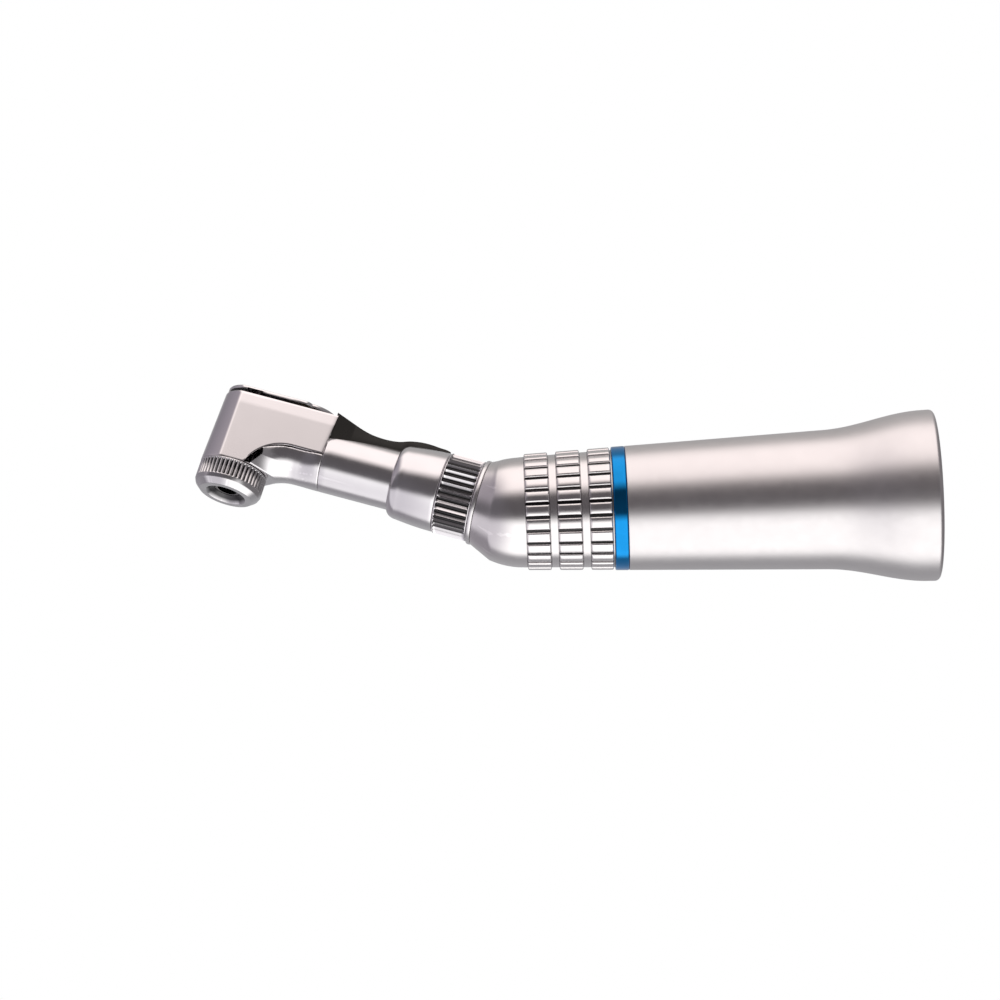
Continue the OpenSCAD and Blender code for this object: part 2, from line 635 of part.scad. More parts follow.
module chuck_spindle() color("dimgray") head_frame() difference() {
    translate([0, 0, -spindle_top]) cylinder(r = spindle_r, h = spindle_top + spindle_end);
    translate([0, 0, -drive_start]) cylinder(r = bur_r, h = 10);
    intersection() {
        translate([0, 0, -spindle_top - 1])
            cylinder(r1 = bur_r + drive_relief * 0.7, r2 = bur_r - drive_relief * 0.3, h = spindle_top);
        translate([-5, -5, -spindle_top - 1]) cube([10, 5 + drive_flat, spindle_top]);
    }
}
module head_gear() color("goldenrod") head_frame() rotate(180 / head_teeth)
    bevel_gear(head_cone, head_cone - 6.8, head_cone + 5.2, head_teeth,
        head_gear_out, head_gear_in, spindle_r + 0.01, 2.1, 3.9);
module upper_bush() color("peru") head_frame() translate([0, 0, -4.1])
    tube(2.6 - 0.01, spindle_r + run_gap, 1.2);
module lower_bush() color("peru") head_frame() translate([0, 0, 4.1])
    tube(barrel_bore_r - 0.01, spindle_r + run_gap, 1.8);

rear_sheath();
ratio_ring();
grip_housing();
neck_washer();
neck_ring();
neck_body();
neck_spine();
head_housing();
head_shield();
latch_lever();
latch_pin();
detent_ball();
detent_spring();
front_cap();
chuck_spindle();
head_gear();
upper_bush();
lower_bush();
neck_shaft();
neck_pinion();
neck_gear();
neck_front_bush();
neck_bearing_outer();
neck_bearing_inner();
neck_bearing_balls();
neck_bearing_clip();
gear_carrier();
drive_shaft();
drive_gear();
front_bearing_outer();
front_bearing_inner();
front_bearing_balls();
rear_bearing_outer();
rear_bearing_inner();
rear_bearing_balls();
bearing_spacer();
retaining_nut();
drive_dog();
dog_spring();
dog_pin();
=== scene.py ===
"""Looks of the contra angle handpiece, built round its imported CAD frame. Sizes are in millimetres.

Local places: the handle's z runs forward from the motor mouth, the neck's z forward from the bend,
and the head's z down towards the bur tip, with x pointing back along the neck.
"""
import json
import math

import bmesh
import bpy
import numpy as np
from mathutils import Matrix, Vector


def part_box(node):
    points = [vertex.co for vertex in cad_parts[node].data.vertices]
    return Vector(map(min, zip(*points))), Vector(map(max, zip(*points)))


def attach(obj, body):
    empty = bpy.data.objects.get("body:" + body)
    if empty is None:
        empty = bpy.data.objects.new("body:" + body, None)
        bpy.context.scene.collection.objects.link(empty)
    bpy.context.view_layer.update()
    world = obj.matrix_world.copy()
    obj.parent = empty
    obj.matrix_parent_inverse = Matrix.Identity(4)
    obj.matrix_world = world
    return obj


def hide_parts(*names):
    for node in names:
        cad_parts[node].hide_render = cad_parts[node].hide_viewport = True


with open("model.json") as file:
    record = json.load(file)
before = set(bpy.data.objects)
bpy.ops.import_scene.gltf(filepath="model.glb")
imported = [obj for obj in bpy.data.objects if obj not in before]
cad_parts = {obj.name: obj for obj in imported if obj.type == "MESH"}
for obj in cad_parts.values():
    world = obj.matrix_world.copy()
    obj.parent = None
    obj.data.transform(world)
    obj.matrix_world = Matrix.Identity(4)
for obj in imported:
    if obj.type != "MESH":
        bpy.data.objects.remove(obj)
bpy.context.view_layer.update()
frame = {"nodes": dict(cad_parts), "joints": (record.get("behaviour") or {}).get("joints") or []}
MM = 0.001


# ---- Places, from the frame's joints ----
def local_box(node):
    low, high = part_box(node)
    return np.array(low) / MM, np.array(high) / MM


joints = {joint["name"]: joint for joint in frame["joints"]}
forward = np.array(joints["neck_spin"]["axis"])
down = np.array(joints["spindle_spin"]["axis"])
head_centre = np.array(joints["spindle_spin"]["pos_m"]) / MM
neck_point = np.array(joints["neck_spin"]["pos_m"]) / MM
bend = neck_point - forward * neck_point[2] / forward[2]
SIDE = np.array((0.0, 1.0, 0.0))
bend_angle = math.atan2(forward[2], -forward[0])
bend_depth = -bend[0]
head_reach = float(np.dot(head_centre - bend, forward))


def tilted(angle):
    """Local axes x, y, z after bending up by that angle."""
    return np.array(((math.sin(angle), 0, math.cos(angle)), SIDE, (-math.cos(angle), 0, math.sin(angle))))


HANDLE = (np.zeros(3), tilted(0))
EDGE = (bend, tilted(bend_angle / 2))
NECK = (bend, tilted(bend_angle))
HEAD = (head_centre, np.array((-forward, -SIDE, down)))


def placed(points, place):
    """Local points in the part's shared frame, still in millimetres."""
    origin, axes = place
    return origin + np.asarray(points, float) @ axes


# ---- Driving dimensions ----
gap = 0.02
# Handle: the sheath with its socket, and the blue ring
handle_low, handle_high = local_box("rear_sheath")
sheath_len = -handle_low[0]
ring_end = -local_box("ratio_ring")[0][0]
ring_in = 6.42
handle_r, handle_front_r, taper_start, taper_len = 8.2, 6.85, 13, 35.3
taper = (handle_r - handle_front_r) / taper_len
socket_r, socket_bevel = 6.1, 0.35
retain_start, retain_end, retain_r = 16.6, 17.6, 6.5
flare_len, flare_start, rim_r = 11.5, 1.55, 0.55
# Grip, elbow and nose
grip_blocks, grip_rows, row_len, groove_w = 26, 3, 2.8, 0.925
slot_depth, slot_half, block_crown = 0.34, 0.15, 0.085
grip_end = ring_end + grip_rows * row_len + (grip_rows - 1) * groove_w
elbow_r, edge_out, nose_r = 6.45, 2.63, 5.02
washer_start, washer_end, washer_r = 4.3, 4.9, nose_r + 0.05
nose_end, nose_thread_r = 8.75, 4.15
nose_bore_r, nose_bore_start = 3.75, 3.2
bend_bore_r, bend_bore_start = 4.1, 46.4
carrier_bore_r, carrier_seat = 5.62, 46.3
# Neck
ring_front, flute_ring_r, flutes, flute_depth, flute_run_out = 9.1, 4.82, 36, 0.33, 0.12
neck_r, bulb_r, bulb_start, bulb_shoulder, bulb_end, bulb_fall = 3.62, 4.75, 9.15, 13.65, 14.95, 0.3
seam, neck_plug_end, neck_plug_r = 23.45, 27.4, 3
neck_rear, neck_rear_r, neck_bore_r = 3.4, 3.7, 1.75
spine_half_ws, spine_crown, spine_bevel = (1.35, 1.65, 3.15), 0.06, 0.16
# Head: the shield
head_half_w, shield_top, shield_t = 3.55, 4.75, 0.3
shield_rear_top, shield_rear_low, shield_cut = 10.5, 10.05, 0.45
shield_cut_a, shield_cut_r, shield_end, shield_flat_end = 6.4, 5.3, 4.03, 1.5
shield_tip_top, shield_tip_low = 3.75, 4.1
facet_w, facet_lean = -3.35, 0.05
# Head: the housing
top_face, barrel_r, barrel_skin_r, barrel_end, block_half_w = 4.6, 3.1, 3.3, 5.2, 3.2
housing_rear = head_reach - seam - 0.03
belly_start, belly_curve, belly_fade = 7.2, 0.088, 2.5
waist_start, waist_len, waist_squeeze = housing_rear - 0.4, 2.2, 0.09
# Head: latch, cap and spindle
latch_under, latch_top, latch_pivot, latch_tail_r, latch_tip = 5.15, 5.6, 6.95, 2.95, 3.6
latch_pin_r, latch_pin_foot, pocket_r, pocket_floor = 0.6, 3.4, 0.95, 0.22
cap_start, cap_knurl_end, cap_end, cap_r, cap_face_r, knurls = 4.05, 6.25, 7.3, 4.05, 3.2, 48
cap_shoulder, cap_shoulder_r, cap_dish_floor = 6.72, 3.86, 6.86
cap_dish_r, cap_hole_r, cap_lip_start, knurl_depth = 2.45, 1.75, 5.95, 0.22
spindle_r, spindle_end = 1.5, 6.6


def handle_at(d):
    return handle_r - taper * (d - taper_start)


rim = handle_high[2]
flare_rise = rim - handle_at(rim_r)


def flare_at(d):
    return flare_rise * (1 + math.cos(math.pi * min(1, max(0, (d - flare_start) / flare_len)))) / 2


def bulb_at(s):
    """Radius of the neck body from the bulb's rear to the head."""
    if s < bulb_shoulder:
        t = (s - bulb_start) / (bulb_shoulder - bulb_start)
        return bulb_r - bulb_fall * t * t
    if s < bulb_end:
        t = (s - bulb_shoulder) / (bulb_end - bulb_shoulder)
        return neck_r + (bulb_r - bulb_fall - neck_r) * math.sqrt(1 - t * t)
    return neck_r


# ---- Materials ----
# Near-black colour for painted shade, mixed in where a mesh's shade attribute is high
PAINTED_SHADE = (0.006, 0.006, 0.007)
NOISE_LOW, NOISE_HIGH = 0.3, 0.7
STAIN_SCALE, GLOSS_SCALE, PIT_SCALE = 450, 900, 7000
# Pointiness where an edge starts to look rubbed, and where it is fully rubbed
RUBBED_FROM, RUBBED_TO = 0.51, 0.58


def ramp(nodes, stops):
    node = nodes.new("ShaderNodeValToRGB")
    elements = node.color_ramp.elements
    while len(elements) < len(stops):
        elements.new(0.5)
    for element, (position, colour) in zip(elements, stops):
        element.position = position
        element.color = (*colour, 1)
    return node


def noise(nodes, links, vector, scale, detail=3):
    node = nodes.new("ShaderNodeTexNoise")
    node.inputs["Scale"].default_value = scale
    node.inputs["Detail"].default_value = detail
    links.new(vector, node.inputs["Vector"])
    return node.outputs["Fac"]


def spread(nodes, links, value, low, high):
    node = nodes.new("ShaderNodeMapRange")
    node.inputs["From Min"].default_value = NOISE_LOW
    node.inputs["From Max"].default_value = NOISE_HIGH
    node.inputs["To Min"].default_value = low
    node.inputs["To Max"].default_value = high
    links.new(value, node.inputs["Value"])
    return node.outputs["Result"]


def metal(name, colour, roughness, vary=0.03, stain=0.06, grain=None, turn=0, grain_depth=0.0,
          pits=0.0, worn=0.0, metallic=1.0):
    """Metal with stains, uneven gloss, tool marks along one direction, edges polished by wear, and
    painted shade, darkened towards near-black where the mesh's shade attribute is high. grain is the
    marks' frequency along x, y and z, in a frame turned by that angle about Y."""
    material = bpy.data.materials.new(name)
    material.use_nodes = True
    nodes, links = material.node_tree.nodes, material.node_tree.links
    shader = nodes["Principled BSDF"]
    shader.inputs["Metallic"].default_value = metallic
    place = nodes.new("ShaderNodeTexCoord").outputs["Object"]
    dull = tuple(c * (1 - stain) for c in colour)
    tint = ramp(nodes, ((0.35, dull), (0.62, colour)))
    links.new(noise(nodes, links, place, STAIN_SCALE), tint.inputs["Fac"])
    shade = tint.outputs["Color"]
    gloss = spread(nodes, links, noise(nodes, links, place, GLOSS_SCALE), roughness - vary, roughness + vary)
    if worn:
        rubbed = nodes.new("ShaderNodeMapRange")
        rubbed.inputs["From Min"].default_value = RUBBED_FROM
        rubbed.inputs["From Max"].default_value = RUBBED_TO
        links.new(nodes.new("ShaderNodeNewGeometry").outputs["Pointiness"], rubbed.inputs["Value"])
        bright = tuple(min(1, c * (1 + worn)) for c in colour)
        shade = blend(nodes, links, rubbed.outputs["Result"], shade, bright)
    # Painted shade: the mesh's point attribute darkens the colour towards near-black in recesses and under
    # parts
    shade_mask = nodes.new("ShaderNodeAttribute")
    shade_mask.attribute_name = "painted_shade"
    shade = blend(nodes, links, shade_mask.outputs["Fac"], shade, PAINTED_SHADE)
    links.new(shade, shader.inputs["Base Color"])
    links.new(gloss, shader.inputs["Roughness"])
    height = None
    if grain:
        mapping = nodes.new("ShaderNodeMapping")
        mapping.vector_type = "TEXTURE"
        mapping.inputs["Rotation"].default_value = (0, turn, 0)
        mapping.inputs["Scale"].default_value = tuple(1 / g for g in grain)
        links.new(place, mapping.inputs["Vector"])
        marks = noise(nodes, links, mapping.outputs["Vector"], 1, 2)
        height = bump(nodes, links, marks, grain_depth, height)
    if pits:
        height = bump(nodes, links, noise(nodes, links, place, PIT_SCALE, 2), pits, height)
    if height:
        links.new(height, shader.inputs["Normal"])
    return material


def blend(nodes, links, share, colour_link, colour):
    """The linked colour, mixed towards the plain one by that share."""
    node = nodes.new("ShaderNodeMix")
    node.data_type = "RGBA"
    node.inputs[7].default_value = (*colour, 1)
    links.new(share, node.inputs["Factor"])
    links.new(colour_link, node.inputs[6])
    return node.outputs[2]


def bump(nodes, links, value, depth, below):
    """A normal raised by value, with the depth in millimetres, on top of the normal below."""
    node = nodes.new("ShaderNodeBump")
    node.inputs["Strength"].default_value = 0.6
    node.inputs["Distance"].default_value = depth * MM
    links.new(value, node.inputs["Height"])
    if below:
        links.new(below, node.inputs["Normal"])
    return node.outputs["Normal"]


ALONG_X, ALONG_Z = (9000, 260, 260), (260, 260, 9000)
STEEL = (0.80, 0.765, 0.765)
handle_steel = metal("satin_steel_handle", STEEL, 0.35, vary=0.02, stain=0.02, grain=ALONG_X,
                     grain_depth=0.0005, pits=0.0004, worn=0.1)
grip_steel = metal("satin_steel_grip", STEEL, 0.24, vary=0.02, stain=0.03, grain=ALONG_X,
                   grain_depth=0.0005, pits=0.0003, worn=0.12)
neck_steel = metal("satin_steel_neck", (0.79, 0.765, 0.775), 0.2, vary=0.015, stain=0.03, grain=ALONG_X,
                   turn=bend_angle, grain_depth=0.0004, pits=0.0003, worn=0.1)
cap_steel = metal("satin_steel_cap", (0.74, 0.72, 0.725), 0.2, grain=ALONG_Z, turn=bend_angle,
                  grain_depth=0.0007, pits=0.0004, worn=0.15)
polished = metal("polished_steel", (0.81, 0.775, 0.78), 0.12, vary=0.015, stain=0.02, grain=ALONG_Z,
                 turn=bend_angle, grain_depth=0.0002, worn=0.15)
plate_steel = metal("polished_steel_plate", (0.88, 0.86, 0.86), 0.22, vary=0.02, stain=0.02)
washer_steel = metal("polished_steel_washer", (0.86, 0.83, 0.83), 0.28, vary=0.02, stain=0.03)
anodised = metal("blue_anodised", (0.012, 0.26, 0.64), 0.13, vary=0.02, stain=0.12, grain=ALONG_X,
                 grain_depth=0.0004)
# Near-black colour for the strip along the neck's top: a painted dark reflection and shade
dark_strip_painted_reflection = metal("dark_strip_painted_reflection", (0.018, 0.0172, 0.016), 0.3, vary=0.05, stain=0.3, pits=0.0010, worn=0.9,
                    metallic=0.75)
spindle_steel = metal("hardened_spindle", (0.30, 0.29, 0.29), 0.22, grain=ALONG_Z, turn=bend_angle,
                      grain_depth=0.001, stain=0.15)
gear_steel = metal("ground_gear_steel", (0.55, 0.53, 0.51), 0.3, stain=0.15, pits=0.0008)
shaft_steel = metal("ground_shaft_steel", (0.62, 0.60, 0.60), 0.22, grain=ALONG_X, grain_depth=0.001)
bearing_steel = metal("bearing_steel", (0.72, 0.72, 0.73), 0.14, stain=0.05)
bronze = metal("machined_bronze", (0.60, 0.40, 0.20), 0.3, stain=0.2, grain=ALONG_X, grain_depth=0.0015)
carrier_alloy = metal("turned_carrier", (0.50, 0.49, 0.48), 0.32, grain=ALONG_X, grain_depth=0.002)
spring_steel = metal("drawn_spring_wire", (0.50, 0.50, 0.52), 0.25, stain=0.12)
slot_material = {
    "satin_steel": neck_steel, "polished_steel": polished, "blue_ring": anodised,
    "dark_steel": spindle_steel, "gear_steel": gear_steel, "shaft_steel": shaft_steel,
    "bearing_steel": bearing_steel, "bronze": bronze, "carrier_alloy": carrier_alloy,
    "spring_steel": spring_steel,
}


# ---- Mesh helpers ----
def piece(name, points, faces, body, material, nodes, sharp=32, painted_shade=None):
    """A closed mesh, smooth except where its faces meet at more than the sharp angle, in degrees. The
    last argument gives the painted shade at each point, from 0 to 1."""
    mesh = bpy.data.meshes.new(name)
    mesh.from_pydata([tuple(p * MM) for p in points], [], [tuple(int(i) for i in f) for f in faces])
    work = bmesh.new()
    work.from_mesh(mesh)
    bmesh.ops.recalc_face_normals(work, faces=work.faces)
    for face in work.faces:
        face.smooth = True
    for edge in work.edges:
        edge.smooth = edge.calc_face_angle(0) < math.radians(sharp)
    work.to_mesh(mesh)
    work.free()
    # Painted shade per point, read by the materials
    if painted_shade is not None:
        mesh.attributes.new("painted_shade", "FLOAT", "POINT").data.foreach_set("value", np.ravel(painted_shade).astype(float))
    mesh.materials.append(material)
    thing = bpy.data.objects.new(name, mesh)
    bpy.context.collection.objects.link(thing)
    shading = thing.modifiers.new("even_normals", "WEIGHTED_NORMAL")
    shading.keep_sharp = True
    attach(thing, body)
    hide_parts(*nodes)
    return thing


def ring_faces(rows, columns):
    """Quads between rings of points, with the last ring joined to the first."""
    j, i = np.meshgrid(np.arange(rows), np.arange(columns), indexing="ij")
    k, n = (j + 1) % rows, (i + 1) % columns
    return np.stack((j * columns + i, j * columns + n, k * columns + n, k * columns + i), -1).reshape(-1, 4)


def rounded(corners, steps=4):
    """A closed outline whose corners (x, y, radius) are turned into arcs."""
    points = []
    for number, (x, y, radius) in enumerate(corners):
        here = np.array((x, y), float)
        if radius == 0:
            points.append(here)
            continue
        before = np.array(corners[number - 1][:2], float) - here
        after = np.array(corners[(number + 1) % len(corners)][:2], float) - here
        before /= np.linalg.norm(before)
        after /= np.linalg.norm(after)
        half = math.acos(np.clip(np.dot(before, after), -1, 1)) / 2
        middle = before + after
        centre = here + middle / np.linalg.norm(middle) * radius / math.sin(half)
        reach = radius / math.tan(half)
        first, last = here + before * reach - centre, here + after * reach - centre
        for k in range(steps + 1):
            way = first + (last - first) * k / steps
            points.append(centre + way / np.linalg.norm(way) * radius)
    return np.array(points)


def turned(name, outline, place, body, material, nodes, columns=192, shape=None, sharp=32):
    """A turned piece from a closed outline of (radius, z). shape(radius, z, angle) may carve it, and
    returns the new radius and the painted shade."""
    angles = np.arange(columns) * 2 * math.pi / columns
    radius = np.repeat(outline[:, 0:1], columns, 1)
    z = np.repeat(outline[:, 1:2], columns, 1)
    painted_shade = None
    if shape:
        radius, painted_shade = shape(radius, z, angles[None, :])
    points = np.stack((radius * np.cos(angles), radius * np.sin(angles), z), -1).reshape(-1, 3)
    return piece(name, placed(points, place), ring_faces(len(outline), columns), body, material,
                 nodes, sharp, painted_shade)


# ---- Handle ----
flare_steps = 40
flared = [(handle_at(d) + flare_at(d), d, 0)
          for d in np.linspace(flare_start + 0.2, flare_start + flare_len, flare_steps)]
socket_line = [
    (socket_r, sheath_len, 0), (socket_r, retain_end, 0), (retain_r, retain_end, 0),
    (retain_r, retain_start, 0), (socket_r, retain_start, 0), (socket_r, socket_bevel, 0.1),
    (socket_r + socket_bevel, 0, 0.1)]
sheath_outline = rounded(
    socket_line + [(rim, 0, rim_r)] + flared + [(handle_at(sheath_len), sheath_len, 0.07)], steps=6)
turned("rear_sheath_shell", sheath_outline, HANDLE, "handpiece", handle_steel, ["rear_sheath"],
       columns=256)

turned("ratio_ring_band", rounded([
    (ring_in, sheath_len + gap, 0), (handle_at(sheath_len) + gap, sheath_len + gap, 0.16),
    (handle_at(ring_end) + gap, ring_end - gap, 0.16), (ring_in, ring_end - gap, 0)]),
    HANDLE, "handpiece", anodised, ["ratio_ring"], columns=256)


# ---- Grip and elbow: rings of points that start round the handle and end round the neck ----
def grip_piece():
    """Rows of crowned blocks, the elbow's ball, the cone to the nose and the bores inside."""
    # How far a block's surface has dropped at a distance in from its edge
    edge_profile = ((0.0, slot_depth), (0.025, 0.12), (0.07, 0.045), (0.15, 0.0))
    steps_in, drops = zip(*edge_profile)
    wall = 0.001
    pitch = 2 * math.pi * handle_at((ring_end + grip_end) / 2) / grip_blocks
    half = [0, slot_half - gap] + [slot_half + step for step in steps_in] + [0.44, 0.58, 0.72]
    offsets = np.array([x - pitch / 2 for x in half] + [0] + [pitch / 2 - x for x in half[:0:-1]])
    across = offsets / pitch
    angles = np.concatenate([(k + across) * 2 * math.pi / grip_blocks for k in range(grip_blocks)])
    from_edge = np.tile(pitch / 2 - np.abs(offsets) - slot_half, grip_blocks)
    crown = block_crown * np.tile(offsets / (pitch / 2 - slot_half), grip_blocks) ** 2

    def depth(edge_distance):
        return np.where(edge_distance < -wall, slot_depth, np.interp(edge_distance, steps_in, drops))

    def ring(radius, z, place):
        radius = np.broadcast_to(radius, angles.shape)
        return placed(np.stack((radius * np.cos(angles), radius * np.sin(angles),
                                np.full(angles.shape, z)), -1), place)

    end_gap = 0.16
    floor_start = ring_end + gap / 2
    rings = [ring(ring_in - gap, sheath_len, HANDLE), ring(ring_in - gap, floor_start, HANDLE),
             ring(handle_at(floor_start) - slot_depth, floor_start, HANDLE)]
    # Painted shade: the hidden rings under the blue ring are fully darkened, and the slots between the blocks
    # and the groove walls are darkened as shade in recesses
    shade_mask = [np.ones(angles.shape)] * 3
    slot_shade = 0.95 * np.clip((depth(from_edge) - 0.08) / 0.2, 0, 1)
    wall_shade, wall_w = 0.7, 0.05
    for row in range(grip_rows):
        start = ring_end + row * (row_len + groove_w) + (end_gap if row == 0 else 0)
        stop = ring_end + row * (row_len + groove_w) + row_len
        places = [start - 0.1, start - gap] + [start + step for step in steps_in]
        places += [start + 0.5, (start + stop) / 2, stop - 0.5]
        places += [stop - step for step in steps_in[::-1]] + [stop + gap, stop + 0.1]
        for d in places:
            edge = min(d - start, stop - d)
            drop = np.maximum(depth(from_edge), depth(np.array(edge)))
            rings.append(ring(handle_at(d) - np.minimum(slot_depth, drop + crown), d, HANDLE))
            in_groove = edge < -wall
            groove_shade = wall_shade if edge > -wall_w else 0
            shade_mask.append(np.full(angles.shape, groove_shade) if in_groove else slot_shade)
    rings.append(ring(elbow_r + 0.045, grip_end + 0.35, HANDLE))
    edge_r = math.sqrt(elbow_r ** 2 - edge_out ** 2)
    equator, edge = ring(elbow_r, bend_depth, HANDLE) - bend, ring(edge_r, edge_out, EDGE) - bend
    # The ball is flattened a little, and each stretch stops just short of the next
    ball_steps, flatten, short = 12, 0.35, 0.985
    swing = np.arccos(np.clip(np.sum(equator * edge, 1) / elbow_r ** 2, -1, 1))[:, None]
    for k in range(ball_steps + 1):
        t = k / ball_steps * short
        on_ball = (np.sin((1 - t) * swing) * equator + np.sin(t * swing) * edge) / np.sin(swing)
        straight = equator + (edge - equator) * t
        rings.append(bend + on_ball * (1 - flatten) + straight * flatten)
    foot = ring(edge_r - 0.035, edge_out + 0.03, EDGE)
    nose = ring(nose_r, washer_start, NECK)
    for t in (0.04, 0.35, 0.7, short):
        rings.append(foot + (nose - foot) * t)
    rings += [ring(nose_r - 0.07, washer_start, NECK), ring(nose_thread_r, washer_start, NECK),
              ring(nose_thread_r, nose_end - 0.15, NECK), ring(nose_thread_r - 0.15, nose_end, NECK),
              ring(nose_bore_r, nose_end, NECK), ring(nose_bore_r, nose_bore_start, NECK),
              ring(bend_bore_r, bend_bore_start, HANDLE), ring(carrier_bore_r, carrier_seat, HANDLE),
              ring(carrier_bore_r, sheath_len, HANDLE)]
    shade_mask += [np.zeros(angles.shape)] * (len(rings) - len(shade_mask))
    piece("grip_housing_body", np.concatenate(rings), ring_faces(len(rings), len(angles)), "handpiece",
          grip_steel, ["grip_housing"], painted_shade=np.concatenate(shade_mask))


grip_piece()

# ---- Neck ----
turned("neck_washer_ring", rounded([
    (nose_thread_r + gap, washer_start + gap, 0), (washer_r, washer_start + gap, 0.12),
    (washer_r, washer_end - 0.05, 0.2), (nose_thread_r + gap, washer_end - 0.05, 0)]),
    NECK, "handpiece", washer_steel, ["neck_washer"])


def fluted(radius, z, angle):
    """Round flutes with narrow lands between them, running out before the ring's ends, with painted shade
    darkening the flute bottoms.
    """
    wave = np.abs(np.cos(angle * flutes / 2)) ** 0.95
    to_end = np.minimum(z - washer_end - flute_run_out, ring_front - flute_run_out - z)
    carved = np.where(radius > flute_ring_r - 0.3, wave * np.clip(to_end / flute_run_out, 0, 1), 0)
    return radius - flute_depth * carved, np.clip((carved - 0.6) / 0.2, 0, 1) * 0.96


flute_steps = (0.2, 0.24, 0.5)
ring_line = [(flute_ring_r, washer_end + t, 0) for t in flute_steps] + [(flute_ring_r, 7.2, 0)]
ring_line += [(flute_ring_r, ring_front - t, 0) for t in flute_steps[::-1]]
turned("coupling_ring_fluted", rounded(
    [(nose_thread_r + 0.05, washer_end, 0), (flute_ring_r, washer_end, 0.12)] + ring_line
    + [(flute_ring_r, ring_front, 0.12), (nose_thread_r + 0.05, ring_front, 0)]),
    NECK, "coupling_ring", neck_steel, ["neck_ring"], columns=flutes * 14, shape=fluted,
    sharp=50)

bulb_rear = bulb_start - 0.35
bulb_line = [(bulb_at(s), s, 0) for s in np.linspace(bulb_start + 0.5, bulb_shoulder, 10)]
bulb_line += [(neck_r + (bulb_r - bulb_fall - neck_r) * math.cos(a),
               bulb_shoulder + (bulb_end - bulb_shoulder) * math.sin(a), 0)
              for a in np.linspace(0, math.pi / 2, 12)[1:]]
turned("neck_body_shell", rounded(
    [(neck_bore_r, neck_rear, 0), (neck_rear_r, neck_rear, 0.1), (neck_rear_r, bulb_rear, 0),
     (nose_thread_r, bulb_rear, 0), (nose_thread_r, bulb_start, 0), (bulb_r, bulb_start, 0.16)] + bulb_line
    + [(neck_r, seam - 0.8, 0), (neck_r, seam - 0.01, 0.06), (neck_plug_r, seam - 0.01, 0),
       (neck_plug_r, neck_plug_end, 0.1), (neck_bore_r, neck_plug_end, 0)]),
    NECK, "handpiece", neck_steel, ["neck_body"])


def spine_piece():
    """The strip along the neck's top, with rounded edges and a slightly crowned face, coloured near-black as
    a painted dark reflection and shade.
    """
    # Place along the neck, and height of the strip's top there
    line = ((9.45, 4.77), (9.65, 4.84), (10.8, 4.93), (12, 5), (13.2, 4.93), (14.4, 4.65), (15.5, 4.2),
            (16.8, 3.95), (18, 3.9), (19, 3.97), (20.1, 4.2), (21.2, 4.55), (22.3, 4.92), (seam - gap, 5.29))
    stations, heights = np.array(line).T
    s = np.linspace(stations[0], stations[-1], 60)
    tangent = np.gradient(heights, stations)
    k = np.clip(np.searchsorted(stations, s) - 1, 0, len(stations) - 2)
    width = stations[k + 1] - stations[k]
    t = (s - stations[k]) / width
    height = ((2 * t ** 3 - 3 * t ** 2 + 1) * heights[k] + (t ** 3 - 2 * t ** 2 + t) * width * tangent[k]
              + (3 * t ** 2 - 2 * t ** 3) * heights[k + 1] + (t ** 3 - t ** 2) * width * tangent[k + 1])
    half = np.interp(s, (bulb_start, bulb_shoulder, seam), spine_half_ws)
    rings = []
    for station, top, w in zip(s, height, half):
        body_r = bulb_at(station) - 0.04
        foot = math.sqrt(body_r ** 2 - w ** 2)
        bevel = min(spine_bevel, (top - foot) * 0.45)
        upper = [(top - bevel, w), (top - bevel * 0.3, w - bevel * 0.3), (top, w - bevel)]
        upper += [(top + spine_crown * math.cos(math.pi / 2 * x), (w - bevel) * x) for x in (0.66, 0.33, 0)]
        section = [(foot, w)] + upper
        section += [(h, -y) for h, y in section[-2::-1]]
        section += [(math.sqrt(body_r ** 2 - y * y), y) for y in (-w * 0.5, 0, w * 0.5)]
        rings.append(placed([(h, y, station) for h, y in section], NECK))
    count = len(rings[0])
    faces = [tuple(f) for f in ring_faces(len(rings), count)[:-count]]
    faces += [tuple(range(count)), tuple(range((len(rings) - 1) * count, len(rings) * count))]
    piece("neck_spine_strip", np.concatenate(rings), faces, "handpiece", dark_strip_painted_reflection,
          ["neck_spine"], 40)


spine_piece()


# ---- Head ----
def bow_radius(tip, half_w):
    """Radius of the head's bowed front, seen from above."""
    return ((tip - shield_flat_end) ** 2 + half_w ** 2) / (2 * (tip - shield_flat_end))


def plan_point(turn, tip, half_w, soften=1.1):
    """Point of the head's outline seen from above whose outward normal is that angle from the front,
    for -90 to 90 degrees: a bowed front joined to flat sides by softened corners."""
    bow = bow_radius(tip, half_w)
    centre = bow - tip
    corner_a = centre - np.sqrt((bow - soften) ** 2 - (half_w - soften) ** 2)
    meet = np.arctan2(half_w - soften, centre - corner_a)
    side = np.sign(turn)
    on_bow = np.abs(turn) <= meet
    a = np.where(on_bow, centre - bow * np.cos(turn), corner_a - soften * np.cos(turn))
    y = np.where(on_bow, bow * np.sin(turn), side * (half_w - soften) + soften * np.sin(turn))
    return a, y


def tip_at(w):
    """How far forward the head's front reaches at that height."""
    return shield_tip_top + (shield_tip_low - shield_tip_top) * (w + shield_top) / (shield_top + shield_end)


def cut_at(a):
    """Lower edge of the shield: straight at the rear, then a hollow arc down to the cap."""
    inside = np.clip(shield_cut_r ** 2 - (a - shield_cut_a) ** 2, 0, None)
    arc = shield_cut + shield_cut_r - np.sqrt(inside)
    low_a = shield_cut_a - math.sqrt(shield_cut_r ** 2 - (shield_cut_r - shield_end + shield_cut) ** 2)
    return np.where(a > shield_cut_a, shield_cut, np.where(a < low_a, shield_end, arc))


